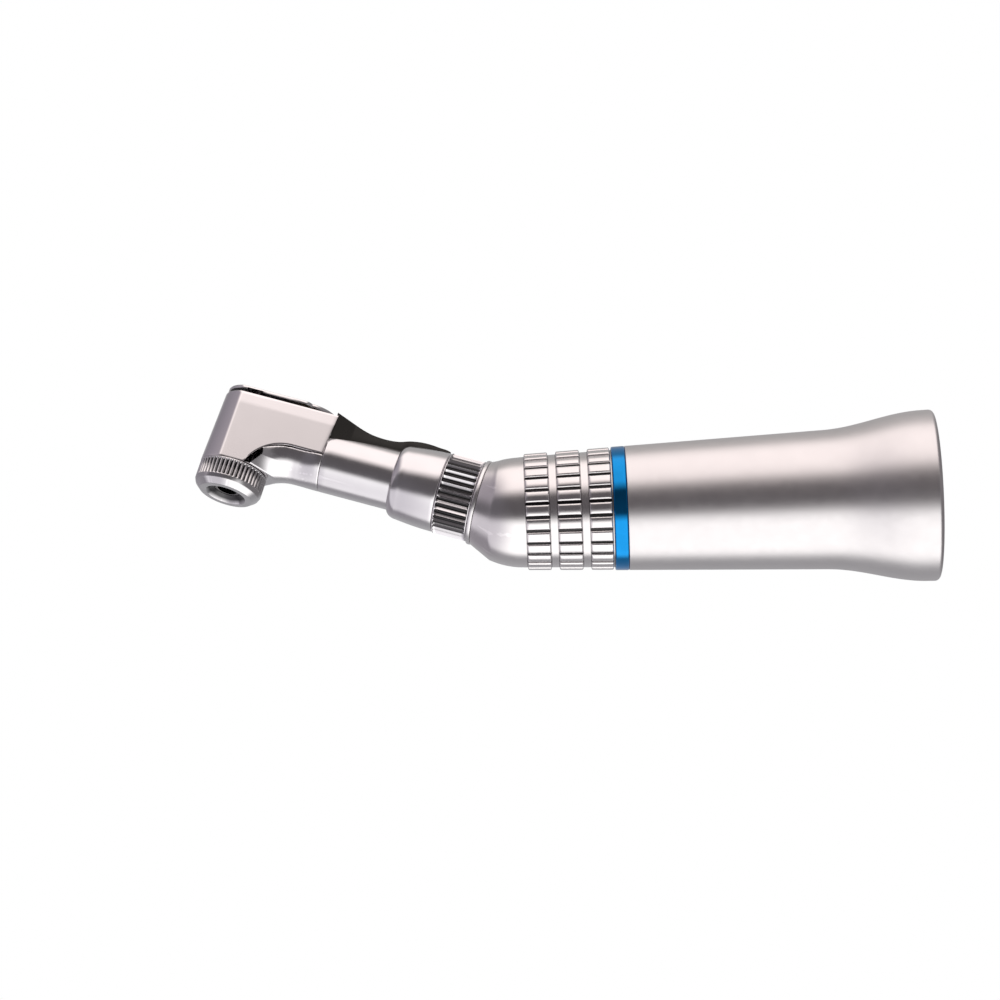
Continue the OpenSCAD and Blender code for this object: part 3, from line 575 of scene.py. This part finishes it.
def sheet_section(low, inset_edge, across):
    """Section of the shield between its top and lower edges, as (w, inset) pairs round the sheet."""
    e = inset_edge
    top = -shield_top
    outer_line = [(w, 0.0) for w in np.linspace(top + e, low - e, across)]
    inner_line = [(w, shield_t) for w in np.linspace(low - e, top + e, across)]
    lower = [(low - 0.3 * e, 0.3 * e), (low, e), (low, shield_t - e), (low - 0.3 * e, shield_t - 0.3 * e)]
    upper = [(top + 0.3 * e, shield_t - 0.3 * e), (top, shield_t - e), (top, e), (top + 0.3 * e, 0.3 * e)]
    return outer_line + lower + inner_line + upper


def shield():
    """The polished sheet round the head: rings of its section, from one rear edge to the other."""
    edge, across = 0.09, 34
    # Places along the flat sides: the rear end, its rounded rim, and where its slant starts to shift them
    rear_a, rim_a, stretch_a = 10, 9.9, 6.3
    flat = np.concatenate(([rear_a, 9.94, 9.85], np.linspace(9.6, stretch_a, 12), np.linspace(6.2, 1.1, 44),
                           (0.5, -0.2, -0.8)))
    stations = [(-1, a) for a in flat]
    stations += [(0, t) for t in np.linspace(-math.pi / 2, math.pi / 2, 81)]
    stations += [(1, a) for a in flat[::-1]]
    rings = []
    for side, value in stations:
        low = shield_end if side == 0 else float(cut_at(value))
        section = []
        for w, inset in sheet_section(low, edge, across):
            lean = max(0, (facet_w - w) / (facet_w + shield_top)) * facet_lean
            if side == 0:
                a, y = plan_point(value, tip_at(w), head_half_w - lean)
                section.append((a + math.cos(value) * inset, y - math.sin(value) * inset, w))
                continue
            slope = (w + shield_top) / (shield_top + shield_cut)
            end = shield_rear_top + (shield_rear_low - shield_rear_top) * min(1, slope)
            a = value + (end - rear_a) * max(0, (value - stretch_a) / (rear_a - stretch_a))
            if value > rim_a:
                thinner = (value - rim_a) / 0.1 * 0.3 * edge
                inset = min(max(inset, thinner), shield_t - thinner)
            section.append((a, side * (head_half_w - inset - lean), w))
        rings.append(placed(section, HEAD))
    count = len(rings[0])
    faces = [tuple(f) for f in ring_faces(len(rings), count)[:-count]]
    # Quads across the sheet's thickness close its two rear edges
    for start in (0, (len(rings) - 1) * count):
        order = [start + (k - 2) % count for k in range(count)]
        for k in range(count // 2 - 1):
            faces.append((order[k], order[k + 1], order[count - 2 - k], order[count - 1 - k]))
    piece("head_shield_sheet", np.concatenate(rings), faces, "handpiece", polished,
          ["head_shield"], 40)


shield()


def length(*parts):
    return np.sqrt(sum(part ** 2 for part in parts))


def smooth_union(first, second, fillet):
    """Distance to either shape, with a fillet where they meet."""
    h = np.clip(0.5 + 0.5 * (second - first) / fillet, 0, 1)
    return second + (first - second) * h - fillet * h * (1 - h)


def smooth_cut(first, second, fillet):
    """Distance to what both shapes share, with its edge rounded."""
    return -smooth_union(-first, -second, fillet)


def envelope(a, y, w, inset):
    """Distance to the room inside the shield, seen from above."""
    tip = tip_at(w)
    bow = bow_radius(tip, head_half_w)
    return np.maximum(length(a - (bow - tip), y) - bow, np.abs(y) - head_half_w) + inset


def under_shield(a, w):
    """Distance to the region the shield covers, seen from the side."""
    arc = shield_cut_r - length(a - shield_cut_a, w - shield_cut - shield_cut_r)
    front = np.maximum(arc, w - shield_end)
    return np.where(a < shield_cut_a, front, w - shield_cut)


def housing_distance(a, y, w):
    """Signed distance to the head housing, about right near its surface."""
    edge = 0.1
    belly = np.where(a > belly_start, 0, belly_curve * (belly_start - a) ** 2)
    belly = belly * np.clip(w / belly_fade, 0, 1)
    narrow = np.clip((waist_start - a) / waist_len, 0, 1)
    tube = length(y * (1 + waist_squeeze * narrow * narrow * (3 - 2 * narrow)), w) - neck_r - belly
    tube = smooth_cut(tube, np.maximum(1.5 - a, a - housing_rear), edge)
    barrel = length(a, y) - barrel_skin_r
    barrel = smooth_cut(barrel, np.maximum(-top_face - w, w - cap_start + 0.03), edge)
    block = smooth_cut(np.maximum(np.abs(y) - block_half_w, -a), np.maximum(-top_face - w, w), edge)
    block = smooth_cut(block, a - housing_rear, edge)
    body = smooth_union(smooth_union(barrel, tube, 1.9), block, 0.15)
    body = smooth_cut(body, np.maximum(-top_face - w, w - cap_start + 0.05), edge)
    sleeve = smooth_cut(length(a, y) - barrel_r, np.maximum(-w, w - barrel_end), edge)
    body = np.minimum(body, sleeve)
    outside = envelope(a, y, w, shield_t + 0.03)
    body = smooth_cut(body, np.minimum(outside, 0.1 - under_shield(a, w)), edge)
    to_spindle, to_neck, to_pin = length(a, y), length(y, w), length(a - latch_pivot, y)
    # Bores: distance from the axis, radius, and distance past either end
    bores = (
        (to_spindle, spindle_r + 0.3, -math.inf),
        (to_spindle, 2.6, np.maximum(-4.15 - w, w - 0.85)),
        (to_spindle, 2.9, np.maximum(-2.6 - w, w - 4.0)),
        (to_spindle, 2.8, -w),
        (to_neck, 2.9, np.maximum(-a, a - 4.3)),
        (to_neck, 2.52, np.maximum(-a, a - 6.4)),
        (to_neck, 3.02, 6.28 - a),
        (to_pin, latch_pin_r + 0.01, w + latch_pin_foot - 0.1),
    )
    for from_axis, radius, past_end in bores:
        body = np.maximum(body, -np.maximum(from_axis - radius, past_end))
    return body


def surface_net(value, low, step):
    """Closed quads round the region where value is negative, with one point in each crossed cell."""
    shape = np.array(value.shape) - 1
    total = np.zeros((*shape, 3))
    hits = np.zeros(shape)
    for axis in range(3):
        others = [k for k in range(3) if k != axis]
        for one in (0, 1):
            for two in (0, 1):
                start = [0, 0, 0]
                start[others[0]], start[others[1]] = one, two
                first = value[tuple(slice(o, o + n) for o, n in zip(start, shape))]
                start[axis] += 1
                second = value[tuple(slice(o, o + n) for o, n in zip(start, shape))]
                start[axis] -= 1
                crossed = (first < 0) != (second < 0)
                t = first / np.where(crossed, first - second, 1)
                for k in range(3):
                    total[..., k] += np.where(crossed, start[k] + (t if k == axis else 0), 0)
                hits += crossed
    used = hits > 0
    number = np.full(used.shape, -1)
    number[used] = np.arange(used.sum())
    points = (np.argwhere(used) + total[used] / hits[used][:, None]) * step + low
    faces = []
    for axis in range(3):
        one, two = [k for k in range(3) if k != axis]
        inner = [slice(1, n) for n in shape]
        inner[axis] = slice(0, shape[axis])
        after = list(inner)
        after[axis] = slice(1, shape[axis] + 1)
        cells = np.argwhere((value[tuple(inner)] < 0) != (value[tuple(after)] < 0))
        cells[:, one] += 1
        cells[:, two] += 1
        corners = []
        for da, db in ((0, 0), (1, 0), (1, 1), (0, 1)):
            cell = cells.copy()
            cell[:, one] -= da
            cell[:, two] -= db
            corners.append(number[tuple(cell.T)])
        faces.append(np.stack(corners, -1))
    return points, np.concatenate(faces)


def housing_piece():
    """The housing's surface, found on a grid and then moved onto the exact shape."""
    step = 0.1
    low, high = np.array((-4.0, -4.0, -5.0)), np.array((10.6, 4.0, 5.6))
    axes = [np.arange(first, last, step) for first, last in zip(low, high)]
    a, y, w = np.meshgrid(*axes, indexing="ij")
    points, faces = surface_net(housing_distance(a, y, w), low, step)
    reach, rounds, most = 0.02, 3, 0.06
    for _ in range(rounds):
        here = housing_distance(*points.T)
        rise = [housing_distance(*(points + reach * unit).T) - housing_distance(*(points - reach * unit).T)
                for unit in np.eye(3)]
        slope = np.stack(rise, -1) / (2 * reach)
        size = np.clip((slope ** 2).sum(1), 0.3, None)
        points = points - np.clip(here / size, -most, most)[:, None] * slope
    a, y, w = points.T
    # Painted shade: the top face under the latch plate and the housing just under the shield's lower edge are
    # darkened as shadow
    on_top = np.clip((-top_face + 0.2 - w) / 0.12, 0, 1)
    by_edge = np.clip(1 - under_shield(a, w) / 0.14, 0, 1)
    by_sheet = np.clip((envelope(a, y, w, shield_t) + 0.5) / 0.3, 0, 1)
    piece("head_housing_body", placed(points, HEAD), faces, "handpiece", neck_steel,
          ["head_housing"], 50, painted_shade=np.maximum(on_top, 0.85 * by_edge * by_sheet))


housing_piece()


# ---- Latch ----
def carve(thing, plan, start, stop):
    """Cuts a straight well with that outline, seen from above, out of a piece of the head."""
    count = len(plan)
    points = placed([(a, y, w) for w in (start, stop) for a, y in plan], HEAD)
    mesh = bpy.data.meshes.new("well")
    faces = [tuple(int(i) for i in f) for f in ring_faces(2, count)[:count]]
    faces += [tuple(range(count)), tuple(range(count, 2 * count))]
    mesh.from_pydata([tuple(p * MM) for p in points], [], faces)
    work = bmesh.new()
    work.from_mesh(mesh)
    bmesh.ops.recalc_face_normals(work, faces=work.faces)
    work.to_mesh(mesh)
    work.free()
    well = bpy.data.objects.new("well", mesh)
    bpy.context.collection.objects.link(well)
    cut = thing.modifiers.new("cut", "BOOLEAN")
    cut.operation, cut.solver, cut.object = "DIFFERENCE", "EXACT", well
    shading = thing.modifiers["even_normals"]
    shading.show_viewport = False
    bpy.context.view_layer.update()
    carved = bpy.data.meshes.new_from_object(thing.evaluated_get(bpy.context.evaluated_depsgraph_get()))
    thing.modifiers.remove(cut)
    shading.show_viewport = True
    thing.data = carved
    bpy.data.objects.remove(well)
    bpy.data.meshes.remove(mesh)


def latch():
    """The swinging plate: its outline from above, with bright rounded edges and the bur's pocket below."""
    half_w = head_half_w - 0.2
    quarter = math.pi / 2
    front = [plan_point(t, latch_tip, half_w, 0.9) for t in np.linspace(-quarter, quarter, 61)]
    side_places = (1.5, 4.5, 6.2)
    join = ((6.6, half_w - 0.06), (6.85, latch_tail_r + 0.1))
    tail = [(latch_pivot + latch_tail_r * math.cos(t), latch_tail_r * math.sin(t))
            for t in np.linspace(quarter, -quarter, 49)]
    plan = [(float(a), float(y)) for a, y in front]
    plan += [(a, half_w) for a in side_places] + [*join] + tail
    plan += [(a, -y) for a, y in join[::-1]] + [(a, -half_w) for a in side_places[::-1]]
    plan = np.array(plan)
    before, after = np.roll(plan, 1, 0), np.roll(plan, -1, 0)
    along = after - before
    along /= np.linalg.norm(along, axis=1)[:, None]
    inward = np.stack((along[:, 1], -along[:, 0]), -1)
    middle = np.array((2.5, 0))
    inward *= np.sign(np.sum(inward * (middle - plan), 1))[:, None]
    rings = []
    edge_line = ((0.13, -latch_top), (0.05, -latch_top + 0.03), (0.0, -latch_top + 0.11),
                 (0.0, -latch_under - 0.08), (0.03, -latch_under - 0.02), (0.09, -latch_under))
    for inset, w in edge_line:
        flat = plan + inward * inset
        rings.append(np.column_stack((flat, np.full(len(flat), w))))
    count = len(plan)
    faces = [tuple(f) for f in ring_faces(len(rings), count)[:-count]]
    faces += [tuple(range(count)), tuple(range((len(rings) - 1) * count, len(rings) * count))]
    plate = piece("latch_lever_plate", placed(np.concatenate(rings), HEAD), faces, "latch",
                  plate_steel, ["latch_lever"], 40)
    hole_r, pocket_out = latch_pin_r + 0.05, 5
    hole = [(latch_pivot + hole_r * math.cos(t), hole_r * math.sin(t))
            for t in np.linspace(0, 2 * math.pi, 48, endpoint=False)]
    pocket = [(pocket_r * math.cos(t), pocket_r * math.sin(t)) for t in np.linspace(math.pi, 2 * math.pi, 25)]
    pocket += [(pocket_r, pocket_out), (-pocket_r, pocket_out)]
    carve(plate, hole, -latch_top - 1, -latch_under + 1)
    carve(plate, pocket, -latch_top + pocket_floor, -latch_under + 1)


latch()
turned("latch_pin_head", rounded([
    (0.02, -latch_top - gap, 0), (latch_pin_r - 0.1, -latch_top - gap, 0.08),
    (latch_pin_r, -latch_top + 0.1, 0), (latch_pin_r, -latch_pin_foot, 0), (0.02, -latch_pin_foot, 0)]),
    HEAD, "handpiece", washer_steel, ["latch_pin"], columns=48)


# ---- Cap ----
def knurled(radius, z, angle):
    """V-shaped knurls round the skirt, with painted shade in them and in the dish round the bur's hole."""
    share = (angle * knurls / (2 * math.pi)) % 1
    wave = np.clip(1.35 * (1 - 2 * np.abs(share - 0.5)) - 0.3, 0, 1)
    ends = np.clip(np.minimum(z - cap_start - 0.16, cap_knurl_end - 0.04 - z) / 0.1, 0, 1)
    carved = np.where(radius > cap_r - 0.25, wave * ends, 0)
    in_knurl = np.clip((carved - 0.45) / 0.3, 0, 1)
    in_dish = np.clip((cap_dish_r - radius) / 0.3, 0, 1) * np.clip((z - cap_lip_start) / 0.4, 0, 1)
    return radius - knurl_depth * carved, np.maximum(in_knurl * 0.93, in_dish * 0.9)


knurl_line = [(cap_r, z, 0) for z in (cap_start + 0.2, cap_start + 0.27, 5.1, cap_knurl_end - 0.16,
                                      cap_knurl_end - 0.08)]
face_line = [
    (cap_r, cap_knurl_end + gap, 0.06), (cap_shoulder_r, cap_shoulder, 0.4), (cap_face_r, cap_end, 0.16),
    (cap_dish_r, cap_end, 0.1), (cap_hole_r + 0.32, cap_dish_floor, 0.25),
    (spindle_r + 0.05, spindle_end + 0.04, 0.05), (spindle_r + 0.05, cap_lip_start, 0)]
turned("front_cap_knurled", rounded(
    [(barrel_r + 0.1, cap_start, 0), (cap_r - gap, cap_start, 0.12)] + knurl_line + face_line
    + [(barrel_r + 0.1, cap_lip_start, 0)]),
    HEAD, "cap", cap_steel, ["front_cap"], columns=knurls * 12, shape=knurled, sharp=50)

# ---- CAD nodes that keep their shape ----
for node in frame["nodes"].values():
    slot = node.material_slots[0].material.name.split(".")[0]
    node.data.materials.clear()
    node.data.materials.append(slot_material[slot])

# ---- Floor, light and camera ----
FLOOR_DROP, FLOOR_HALF = 0.45, 4.0
floor_corners = [(x * FLOOR_HALF, y * FLOOR_HALF, -FLOOR_DROP)
                 for x, y in ((-1, -1), (1, -1), (1, 1), (-1, 1))]
plane = bpy.data.meshes.new("floor")
plane.from_pydata(floor_corners, [], [(0, 1, 2, 3)])
floor = bpy.data.objects.new("floor", plane)
bpy.context.collection.objects.link(floor)
floor.visible_glossy = False
floor_paint = bpy.data.materials.new("pale_floor")
floor_paint.use_nodes = True
paint_nodes, paint_links = floor_paint.node_tree.nodes, floor_paint.node_tree.links
speckle = ramp(paint_nodes, ((NOISE_LOW, (0.86, 0.86, 0.86)), (NOISE_HIGH, (0.9, 0.9, 0.9))))
paint_links.new(noise(paint_nodes, paint_links, paint_nodes.new("ShaderNodeTexCoord").outputs["Object"], 40),
                speckle.inputs["Fac"])
paint_links.new(speckle.outputs["Color"], paint_nodes["Principled BSDF"].inputs["Base Color"])
paint_nodes["Principled BSDF"].inputs["Roughness"].default_value = 0.8
plane.materials.append(floor_paint)

# The studio: panels of light that run along the handle. Each colour stands at a height angle in degrees,
# where 0 is level on the viewer's side and 90 is straight up.
STUDIO_GAIN = 1.6
WARM_PANEL, WHITE_PANEL, DIM_PANEL = (0.84, 0.78, 0.765), (1.0, 1.0, 1.0), (0.5, 0.485, 0.52)
studio = (
    (-180, (0.30, 0.30, 0.31)), (-130, (0.22, 0.22, 0.23)), (-118, WHITE_PANEL), (-46, WHITE_PANEL),
    (-32, (0.08, 0.075, 0.08)), (12, (0.06, 0.055, 0.058)), (30, WARM_PANEL), (84, WARM_PANEL),
    (98, (0.30, 0.29, 0.285)), (130, (0.26, 0.26, 0.26)), (180, (0.30, 0.30, 0.31)),
)
# The same for light that comes from beyond the bur's end
front_studio = (
    (-180, (0.24, 0.23, 0.25)), (-130, (0.18, 0.17, 0.19)), (-118, DIM_PANEL), (-46, DIM_PANEL),
    (-32, (0.09, 0.085, 0.095)), (12, (0.09, 0.085, 0.095)), (30, (0.26, 0.24, 0.265)),
    (90, (0.2, 0.185, 0.21)), (130, (0.17, 0.16, 0.18)), (180, (0.22, 0.21, 0.23)),
)
# Directions whose x lies past these fade to the front studio, and to the dim light past the motor's end
FRONT_FADE, REAR_FADE, REAR_LIGHT = (-0.20, -0.62), (0.28, 0.68), (0.13, 0.125, 0.13)
world = bpy.data.worlds.new("studio")
bpy.context.scene.world = world
world.use_nodes = True
sky, sky_links = world.node_tree.nodes, world.node_tree.links
sky.clear()
way = sky.new("ShaderNodeTexCoord").outputs["Generated"]
direction = sky.new("ShaderNodeSeparateXYZ")
sky_links.new(way, direction.inputs["Vector"])
towards = sky.new("ShaderNodeMath")
towards.operation = "MULTIPLY"
towards.inputs[1].default_value = -1
sky_links.new(direction.outputs["Y"], towards.inputs[0])
height_angle = sky.new("ShaderNodeMath")
height_angle.operation = "ARCTAN2"
sky_links.new(direction.outputs["Z"], height_angle.inputs[0])
sky_links.new(towards.outputs[0], height_angle.inputs[1])
turn_share = sky.new("ShaderNodeMapRange")
turn_share.inputs["From Min"].default_value = -math.pi
turn_share.inputs["From Max"].default_value = math.pi
sky_links.new(height_angle.outputs[0], turn_share.inputs["Value"])
panels = ramp(sky, [((angle + 180) / 360, colour) for angle, colour in studio])
sky_links.new(turn_share.outputs["Result"], panels.inputs["Fac"])
front_panels = ramp(sky, [((angle + 180) / 360, colour) for angle, colour in front_studio])
sky_links.new(turn_share.outputs["Result"], front_panels.inputs["Fac"])


def beyond(start, stop, near, far=None, far_colour=(0, 0, 0)):
    """Fades the near panels to the far ones for directions whose x goes from start to stop."""
    share = sky.new("ShaderNodeMapRange")
    share.interpolation_type = "SMOOTHSTEP"
    share.inputs["From Min"].default_value = start
    share.inputs["From Max"].default_value = stop
    sky_links.new(direction.outputs["X"], share.inputs["Value"])
    result = blend(sky, sky_links, share.outputs["Result"], near, far_colour)
    if far:
        sky_links.new(far, result.node.inputs[7])
    return result


lit_front = beyond(*FRONT_FADE, panels.outputs["Color"], front_panels.outputs["Color"])
both_ends = beyond(*REAR_FADE, lit_front, far_colour=REAR_LIGHT)
light = sky.new("ShaderNodeBackground")
light.inputs["Strength"].default_value = STUDIO_GAIN
sky_links.new(both_ends, light.inputs["Color"])
backdrop = sky.new("ShaderNodeBackground")
backdrop.inputs["Color"].default_value = (1, 1, 1, 1)
seen = sky.new("ShaderNodeLightPath").outputs["Is Camera Ray"]
choose = sky.new("ShaderNodeMixShader")
sky_links.new(seen, choose.inputs["Fac"])
sky_links.new(light.outputs["Background"], choose.inputs[1])
sky_links.new(backdrop.outputs["Background"], choose.inputs[2])
sky_links.new(choose.outputs["Shader"], sky.new("ShaderNodeOutputWorld").inputs["Surface"])

scene = bpy.context.scene
scene.view_settings.view_transform = "Standard"
scene.view_settings.look = "None"
scene.render.film_transparent = False

CAMERA_AT = Vector((-0.04799, -0.45903, -0.18378))
CAMERA_AZIMUTH, CAMERA_RISE, CAMERA_ROLL = math.radians(0.41), math.radians(-22), math.radians(2.25)
back = Vector((math.sin(CAMERA_AZIMUTH) * math.cos(CAMERA_RISE),
               -math.cos(CAMERA_AZIMUTH) * math.cos(CAMERA_RISE), math.sin(CAMERA_RISE)))
right = (-back).cross(Vector((0, 0, 1))).normalized()
up = right.cross(-back)
rolled_right = right * math.cos(CAMERA_ROLL) - up * math.sin(CAMERA_ROLL)
rolled_up = right * math.sin(CAMERA_ROLL) + up * math.cos(CAMERA_ROLL)
camera_data = bpy.data.cameras.new("camera")
camera_data.lens = 151.2
camera_data.sensor_width = 36
camera_data.clip_start, camera_data.clip_end = 0.01, 20
camera = bpy.data.objects.new("camera", camera_data)
bpy.context.collection.objects.link(camera)
camera_axes = Matrix((rolled_right, rolled_up, back)).transposed().to_4x4()
camera.matrix_world = Matrix.Translation(CAMERA_AT) @ camera_axes
scene.camera = camera

bpy.context.view_layer.update()
